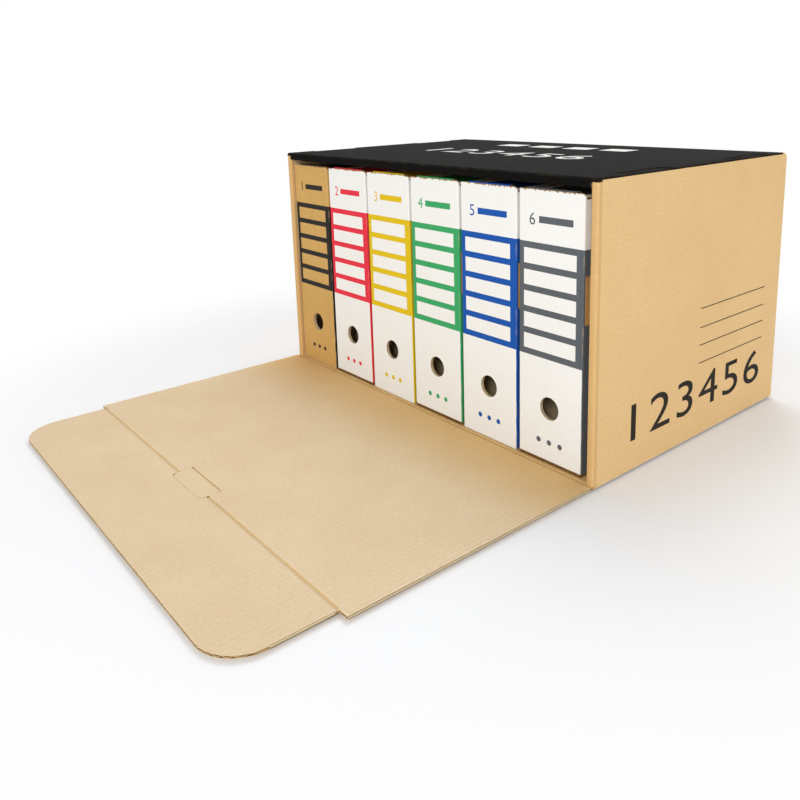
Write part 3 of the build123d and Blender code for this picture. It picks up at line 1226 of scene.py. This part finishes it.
@dataclass
class FileBox(Assembly):
    """One upright file box with a printed label frame, a finger hole and a notched side."""

    number: int
    ink: Ink
    fold: float = 0.0015
    top_corner: float = 0.0035
    fray: tuple[Pair, ...] = ((0.0006, 0.62), (0.0013, 0.3))
    fray_cell: float = 0.0021
    hole_radius: float = 0.0125
    hole_height: float = 0.062
    hole_depth: float = 0.004
    hole_steps: int = 48
    hang: float = 0.0022
    lift: float = 0.0012
    label_drop: float = 0.054
    label_margins: Pair = (0.0068, 0.0092)
    window_height: float = 0.016
    bar_height: float = 0.0068
    window_count: int = 5
    number_drop: float = 0.03
    number_size: Pair = (0.009, 0.0125)
    bar_size: Pair = (0.044, 0.007)
    dot_height: float = 0.024
    dot_pitch: float = 0.0145
    dot_size: Pair = (0.006, 0.006)
    dot_steps: int = 20
    lid_share: float = 0.74
    lid_rise: float = 0.0014
    lid_flat: float = 0.0028
    lid_slack: float = 0.00035
    lid_ramp: float = 0.012
    notch: Triple = (0.02, 0.05, 0.08)
    notch_depth: float = 0.001
    notch_rim: float = 0.0005
    overrun: float = 0.001
    trim: float = 0.0002
    rub_width: float = 0.0016

    def __post_init__(self) -> None:
        """Reads the file box's faces from the frame."""
        super().__post_init__()
        self.body, self.hangs = f"file_{self.number}", self.number % 2 == 1
        self.front_low, self.front_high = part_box(self.node("front"))
        self.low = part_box(self.node("base"))[0]
        self.high = Vector((self.front_high.x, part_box(self.node("back"))[1].y, self.front_high.z))
        first_low, first_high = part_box("file_1_base")
        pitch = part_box("file_2_base")[0].x - first_low.x
        spans = ((first_low.x, first_high.x), (self.low.y, self.high.y), (self.low.z, self.high.z))
        centre = tuple((low + high) / 2 for low, high in spans)
        half = tuple((high - low) / 2 for low, high in spans)
        self.rub = Rub("file", centre, half, self.rub_width, pitch)
        kraft = self.ink is Ink.BLACK
        self.plain, self.slot = (KRAFT_FACE, "kraft_print") if kraft else (WHITE_FACE, "white_print")
        self.kraft = self.finishes.paper(KRAFT_IN, Lay.FRONT)
        step = self.window_height + self.bar_height
        self.label_top = self.high.z - self.label_drop
        self.label_low = self.label_top - self.window_count * step - self.bar_height
        self.windows = [self.label_top - self.bar_height - k * step for k in range(self.window_count)]

    def node(self, word: str) -> str:
        """Gives the name of one of the file box's nodes."""
        return f"file_{self.number}_{word}"

    def build(self) -> None:
        """Builds every panel of the file box."""
        self.build_front()
        self.build_back()
        self.build_side("left", Lay.LEFT_SIDE)
        self.build_side("right", Lay.RIGHT_SIDE)
        self.build_base()
        self.build_lid()

    def papers(self, lay: Lay) -> tuple[Finish, Finish]:
        """Gives the plain paper and the printed one, for a panel that lies in some way."""
        return self.paper(self.plain, lay), self.paper(self.ink.liner(), lay)

    def build_front(self) -> None:
        """Builds the front, with its print, its finger hole and its rounded top corners."""
        low, high = Lay.FRONT.extent(self.front_low, self.front_high)
        low.y += -self.hang if self.hangs else self.lift
        plain, ink = self.papers(Lay.FRONT)
        piece, over, corner = self.piece(self.node("front"), Lay.FRONT), self.overrun, self.top_corner
        piece.board(low, high + Vector((0, over, 0)), plain, self.kraft, fold=self.fold)
        outline = Outline.box((low.x - self.trim, low.y - over), (high.x + self.trim, high.y),
                              (0, 0, corner, corner))
        piece.cut(outline.prism(low.z - over, high.z + over), keep=True)
        place = Vector(((low.x + high.x) / 2, self.low.z + self.hole_height, high.z))
        hole = disc(self.hole_radius, self.hole_steps)
        bmesh.ops.translate(hole, verts=hole.verts[:], vec=(place.x, place.y, low.z - over))
        piece.cut(extrude(hole, high.z - low.z + 2 * over))
        self.line_hole(piece, place)
        self.fray_top(piece, plain, high.y)
        self.print_label(piece, low, high, plain, ink)
        self.print_marks(piece, place.x, high, ink)
        piece.done(self.slot, self.body)

    def line_hole(self, piece: Piece, place: Vector) -> None:
        """Lines the finger hole with the crushed edge of the board.

        Args:
            piece: The front.
            place: The hole's middle, on the front's outer face.
        """
        ring, paper = bmesh.new(), self.board.liner
        bmesh.ops.create_circle(ring, segments=self.hole_steps, radius=self.hole_radius)
        start = place - Vector((0, 0, self.hole_depth - paper / 2))
        bmesh.ops.translate(ring, verts=ring.verts[:], vec=start)
        made = bmesh.ops.extrude_edge_only(ring, edges=ring.edges[:])["geom"]
        rim = [item for item in made if isinstance(item, BMVert)]
        bmesh.ops.translate(ring, verts=rim, vec=(0, 0, self.hole_depth - paper))
        bmesh.ops.recalc_face_normals(ring, faces=ring.faces[:])
        first = ring.faces[:][0]
        if first.normal.dot(first.calc_center_median() - place) > 0:
            bmesh.ops.reverse_faces(ring, faces=ring.faces[:])
        bmesh.ops.solidify(ring, geom=ring.faces[:], thickness=paper)
        piece.coat(ring.faces, self.finishes.paper(CUT_EDGE, Lay.FRONT))
        piece.join(ring)

    def fray_top(self, piece: Piece, plain: Finish, top: float) -> None:
        """Bares the board in short stretches along the front's top edge, where its liner is chipped.

        Args:
            piece: The front.
            plain: The finish of the liner.
            top: The level of the top edge, along the front.
        """
        draw = random.Random(self.number)
        chips = [draw.random() for _ in range(math.ceil((self.high.x - self.low.x) / self.fray_cell) + 1)]
        piece.split(plain, 1, [top - depth for depth, _ in self.fray])

        def choose(place: Vector) -> Finish:
            """Gives the raw board where the liner is chipped."""
            share = next((share for depth, share in self.fray if place.y > top - depth), 0)
            return self.raw if chips[int((place.x - self.low.x) / self.fray_cell)] < share else plain

        piece.paint(plain, choose)

    def print_label(self, piece: Piece, low: Vector, high: Vector, plain: Finish, ink: Finish) -> None:
        """Prints the label frame with its windows.

        Args:
            piece: The front.
            low: The front's lowest corner, in its own axes.
            high: Its highest corner.
            plain: The finish of the paper.
            ink: The finish of the frame.
        """
        left, right = low.x + self.label_margins[0], high.x - self.label_margins[1]
        edge, tall = high.x - self.fold / 2, self.window_height
        levels = [level for top in self.windows for level in (top, top - tall)]
        piece.split(plain, 1, [self.label_top, self.label_low] + levels)
        piece.split(plain, 0, (left, right, edge))

        def in_window(place: Vector) -> bool:
            """Tells whether a place lies in one of the label's windows."""
            return left < place.x < right and any(top - tall < place.y < top for top in self.windows)

        def choose(place: Vector) -> Finish:
            """Gives the ink inside the frame and on the edge below its top."""
            inked = place.x > edge or (place.y > self.label_low and not in_window(place))
            return ink if inked and place.y < self.label_top else plain

        piece.paint(plain, choose)

    def print_marks(self, piece: Piece, middle: float, high: Vector, ink: Finish) -> None:
        """Prints the file box's number with a plain bar, and three dots near the base.

        Args:
            piece: The front.
            middle: The middle of the front's width.
            high: The front's highest corner, in its own axes.
            ink: The finish of the ink.
        """
        (wide, tall), long = self.number_size, self.bar_size[0]
        gap, level = wide / 2, high.y - self.number_drop
        left = middle - (wide + gap + long) / 2
        piece.film(digits(str(self.number)), (0, tall), (left + wide / 2, level), high.z, ink)
        piece.bar(self.bar_size, (left + wide + gap + long / 2, level), high.z, ink)
        for count in (-1, 0, 1):
            place = (middle + count * self.dot_pitch, self.low.z + self.dot_height)
            piece.film(disc(1, self.dot_steps), self.dot_size, place, high.z, ink)

    def build_back(self) -> None:
        """Builds the back."""
        piece, plain = self.piece(self.node("back"), Lay.BACK), self.paper(self.plain, Lay.BACK)
        piece.board(*Lay.BACK.extent(*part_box(self.node("back"))), plain, self.kraft, fold=self.fold)
        piece.done(self.slot, self.body)

    def build_side(self, side: str, lay: Lay) -> None:
        """Builds a side, which is printed below the top of the label, and notched at the right.

        Args:
            side: The word for the side.
            lay: How it lies.
        """
        low, high = lay.extent(*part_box(self.node(side)))
        plain, ink = self.papers(lay)
        piece = self.piece(self.node(side), lay)
        piece.board(low, high, plain, self.finishes.paper(KRAFT_IN, lay))
        if side == "right":
            reach, height, drop = self.notch
            top, floor = self.high.z - drop, high.z - self.notch_depth
            rim, corner, over = self.notch_rim, self.top_corner, self.overrun
            notch = Outline.box((low.x - over, top - height), (low.x + reach, top), (0, corner, corner, 0))
            piece.cut(notch.prism(floor, high.z + over))
            # The notch's floor is painted in brighter kraft: painted light in the recess.
            piece.sheet([(low.x, floor), (low.x + reach + rim, floor)], (top - height - rim, top + rim),
                        self.finishes.paper(NOTCH_KRAFT_LIT, lay))
        piece.split(plain, 1, (self.label_top,))
        piece.paint(plain, lambda place: ink if place.y < self.label_top else plain)
        piece.done(self.ink.slot(), self.body)

    def build_base(self) -> None:
        """Builds the base, whose raw front edge shows where the front doesn't hang over it; that raw edge is
        painted darker, a painted shade under the front.
        """
        low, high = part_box(self.node("base"))
        if self.hangs:
            low.y = self.front_high.y
        else:
            high.z += self.lift
        # The base's raw board takes the darker edge finish, a painted shade.
        papers = (self.finishes.paper(liner, Lay.FLOOR) for liner in (KRAFT_IN, KRAFT_OUT, BASE_EDGE_SHADED))
        piece = self.piece(self.node("base"), Lay.FLOOR)
        piece.board(low, high, *papers)
        piece.done(self.slot, self.body)

    def build_lid(self) -> None:
        """Builds the lid, printed between two plain margins, with a fold that shows above the front."""
        low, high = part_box(self.node("lid"))
        plain, ink = self.papers(Lay.FLOOR)
        piece = self.piece(self.node("lid"), Lay.FLOOR)
        piece.board(low, high, plain, self.finishes.paper(KRAFT_IN, Lay.FLOOR))
        middle, half = (low.x + high.x) / 2, (high.x - low.x) / 2 * self.lid_share
        ends = (middle - half, middle + half)
        piece.split(plain, 0, ends)
        piece.paint(plain, lambda place: ink if abs(place.x - middle) < half else plain)
        rise, face, top = self.lid_rise, -self.front_high.y, self.high.z + self.lid_rise
        profile = [(face - self.lid_ramp, high.z), (face - self.lid_flat, top - self.lid_slack),
                   *arc((face - rise, top - rise), rise, 90, 0), (face, high.z)]
        fold = Piece(piece.name, Lay.TOP, self.finishes)
        fold.finishes = piece.finishes
        fold.sheet(profile, ends, ink)
        turn = piece.lay.matrix().inverted() @ fold.lay.matrix()
        bmesh.ops.transform(fold.mesh, matrix=turn, verts=fold.mesh.verts[:])
        piece.join(fold.mesh)
        piece.done(self.ink.slot(), self.body)


@dataclass(frozen=True)
class Lamp:
    """A soft rectangular lamp that looks at the box."""

    name: str
    place: Triple
    size: Pair
    power: float


@dataclass(frozen=True)
class Studio:
    """A pale floor, greyer near the box in painted shade and white further out, soft lamps and the camera."""

    eye: Triple = (0.7265, -0.7579, 0.3905)
    right: Triple = (0.6406, 0.7675, -0.0251)
    up: Triple = (-0.1412, 0.1499, 0.9786)
    lens: float = 35.201
    sensor: float = 36.0
    shift: Pair = (-0.03, -0.18)
    clip: Pair = (0.01, 100.0)
    floor_size: float = 30.0
    floor_drop: float = 0.003
    floor_fade: Pair = (0.44, 0.78)
    # A grey with a little blue, which tints the floor near the box: painted shade.
    floor_colour: tuple[float, ...] = (0.87, 0.88, 0.895, 1.0)
    world_light: float = 0.5
    target: Triple = (0, -0.1, 0.1)
    lamps: tuple[Lamp, ...] = (Lamp("high_lamp", (-0.6, 0.6, 2.5), (1.6, 1.6), 29.0),
                               Lamp("key_lamp", (1.9, -2.7, 1.65), (0.8, 0.8), 50.0),
                               Lamp("front_lamp", (0.9, -3.4, 0.8), (2.2, 1.6), 14.0),
                               Lamp("side_lamp", (3.4, 0.6, 0.9), (2.2, 1.6), 15.0))

    def build(self) -> None:
        """Builds the camera, the world, the floor and the lamps."""
        bpy.context.scene.view_settings.view_transform = "Standard"
        self.build_camera()
        self.build_world()
        self.build_floor()
        for lamp in self.lamps:
            self.build_lamp(lamp)

    def build_camera(self) -> None:
        """Places the camera at the photographed angle."""
        data = bpy.data.cameras.new("camera")
        data.lens, data.sensor_width = self.lens, self.sensor
        data.shift_x, data.shift_y = self.shift
        data.clip_start, data.clip_end = self.clip
        right = Vector(self.right).normalized()
        back = right.cross(Vector(self.up)).normalized()
        turn = Matrix((right, back.cross(right), back)).transposed().to_4x4()
        camera = link("camera", data)
        camera.matrix_world = Matrix.Translation(self.eye) @ turn
        bpy.context.scene.camera = camera

    def build_world(self) -> None:
        """Lights the box evenly, with a white backdrop."""
        world = bpy.data.worlds.new("studio")
        world.use_nodes = True
        bpy.context.scene.world = world
        graph, light = Graph(world.node_tree), world.node_tree.nodes["Background"]
        graph.fill(light, {"Color": WHITE, "Strength": self.world_light})
        graph.backdrop(light, "Background")

    def build_floor(self) -> None:
        """Lays the floor, which keeps the box's shadow, and is greyer near the box, a painted shade that
        fades to glowing white further out.
        """
        mesh = bmesh.new()
        bmesh.ops.create_grid(mesh, x_segments=1, y_segments=1, size=self.floor_size / 2)
        bmesh.ops.translate(mesh, verts=mesh.verts[:], vec=(0, 0, -self.floor_drop))
        material = bpy.data.materials.new("floor_white")
        material.use_nodes = True
        graph, shader = Graph(material.node_tree), material.node_tree.nodes["Principled BSDF"]
        graph.fill(shader, {"Base Color": self.floor_colour, "Roughness": 1.0, "Specular IOR Level": 0.0})
        # Painted shade: the lit grey floor near the box gives way to a white glow with distance from it.
        distance = graph.vector("DISTANCE", graph.node("TexCoord")["Object"], self.target)
        graph.backdrop(shader, "Emission", graph.ramp(distance, *self.floor_fade))
        floor = link("floor", bake(mesh, "floor", (material,)))
        floor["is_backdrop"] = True

    def build_lamp(self, lamp: Lamp) -> None:
        """Hangs a lamp.

        Args:
            lamp: The lamp.
        """
        data = bpy.data.lights.new(lamp.name, "AREA")
        data.shape, (data.size, data.size_y), data.energy = "RECTANGLE", lamp.size, lamp.power
        holder = link(lamp.name, data)
        holder.location = lamp.place
        aim = Vector(self.target) - Vector(lamp.place)
        holder.rotation_euler = aim.to_track_quat("-Z", "Y").to_euler()


def main() -> None:
    """Builds the archive box and its studio."""
    logging.basicConfig(level=logging.INFO, format="%(message)s")
    finishes = Finishes(Board())
    Case(finishes).build()
    FrontClosure(finishes).build()
    for number, ink in enumerate(Ink, 1):
        FileBox(finishes, number, ink).build()
    Studio().build()
    boxes = {"cad": cad_box, "visual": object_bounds()}
    {name: [list(corner) for corner in corners] for name, corners in boxes.items()}


if __name__ == "__main__":
    main()
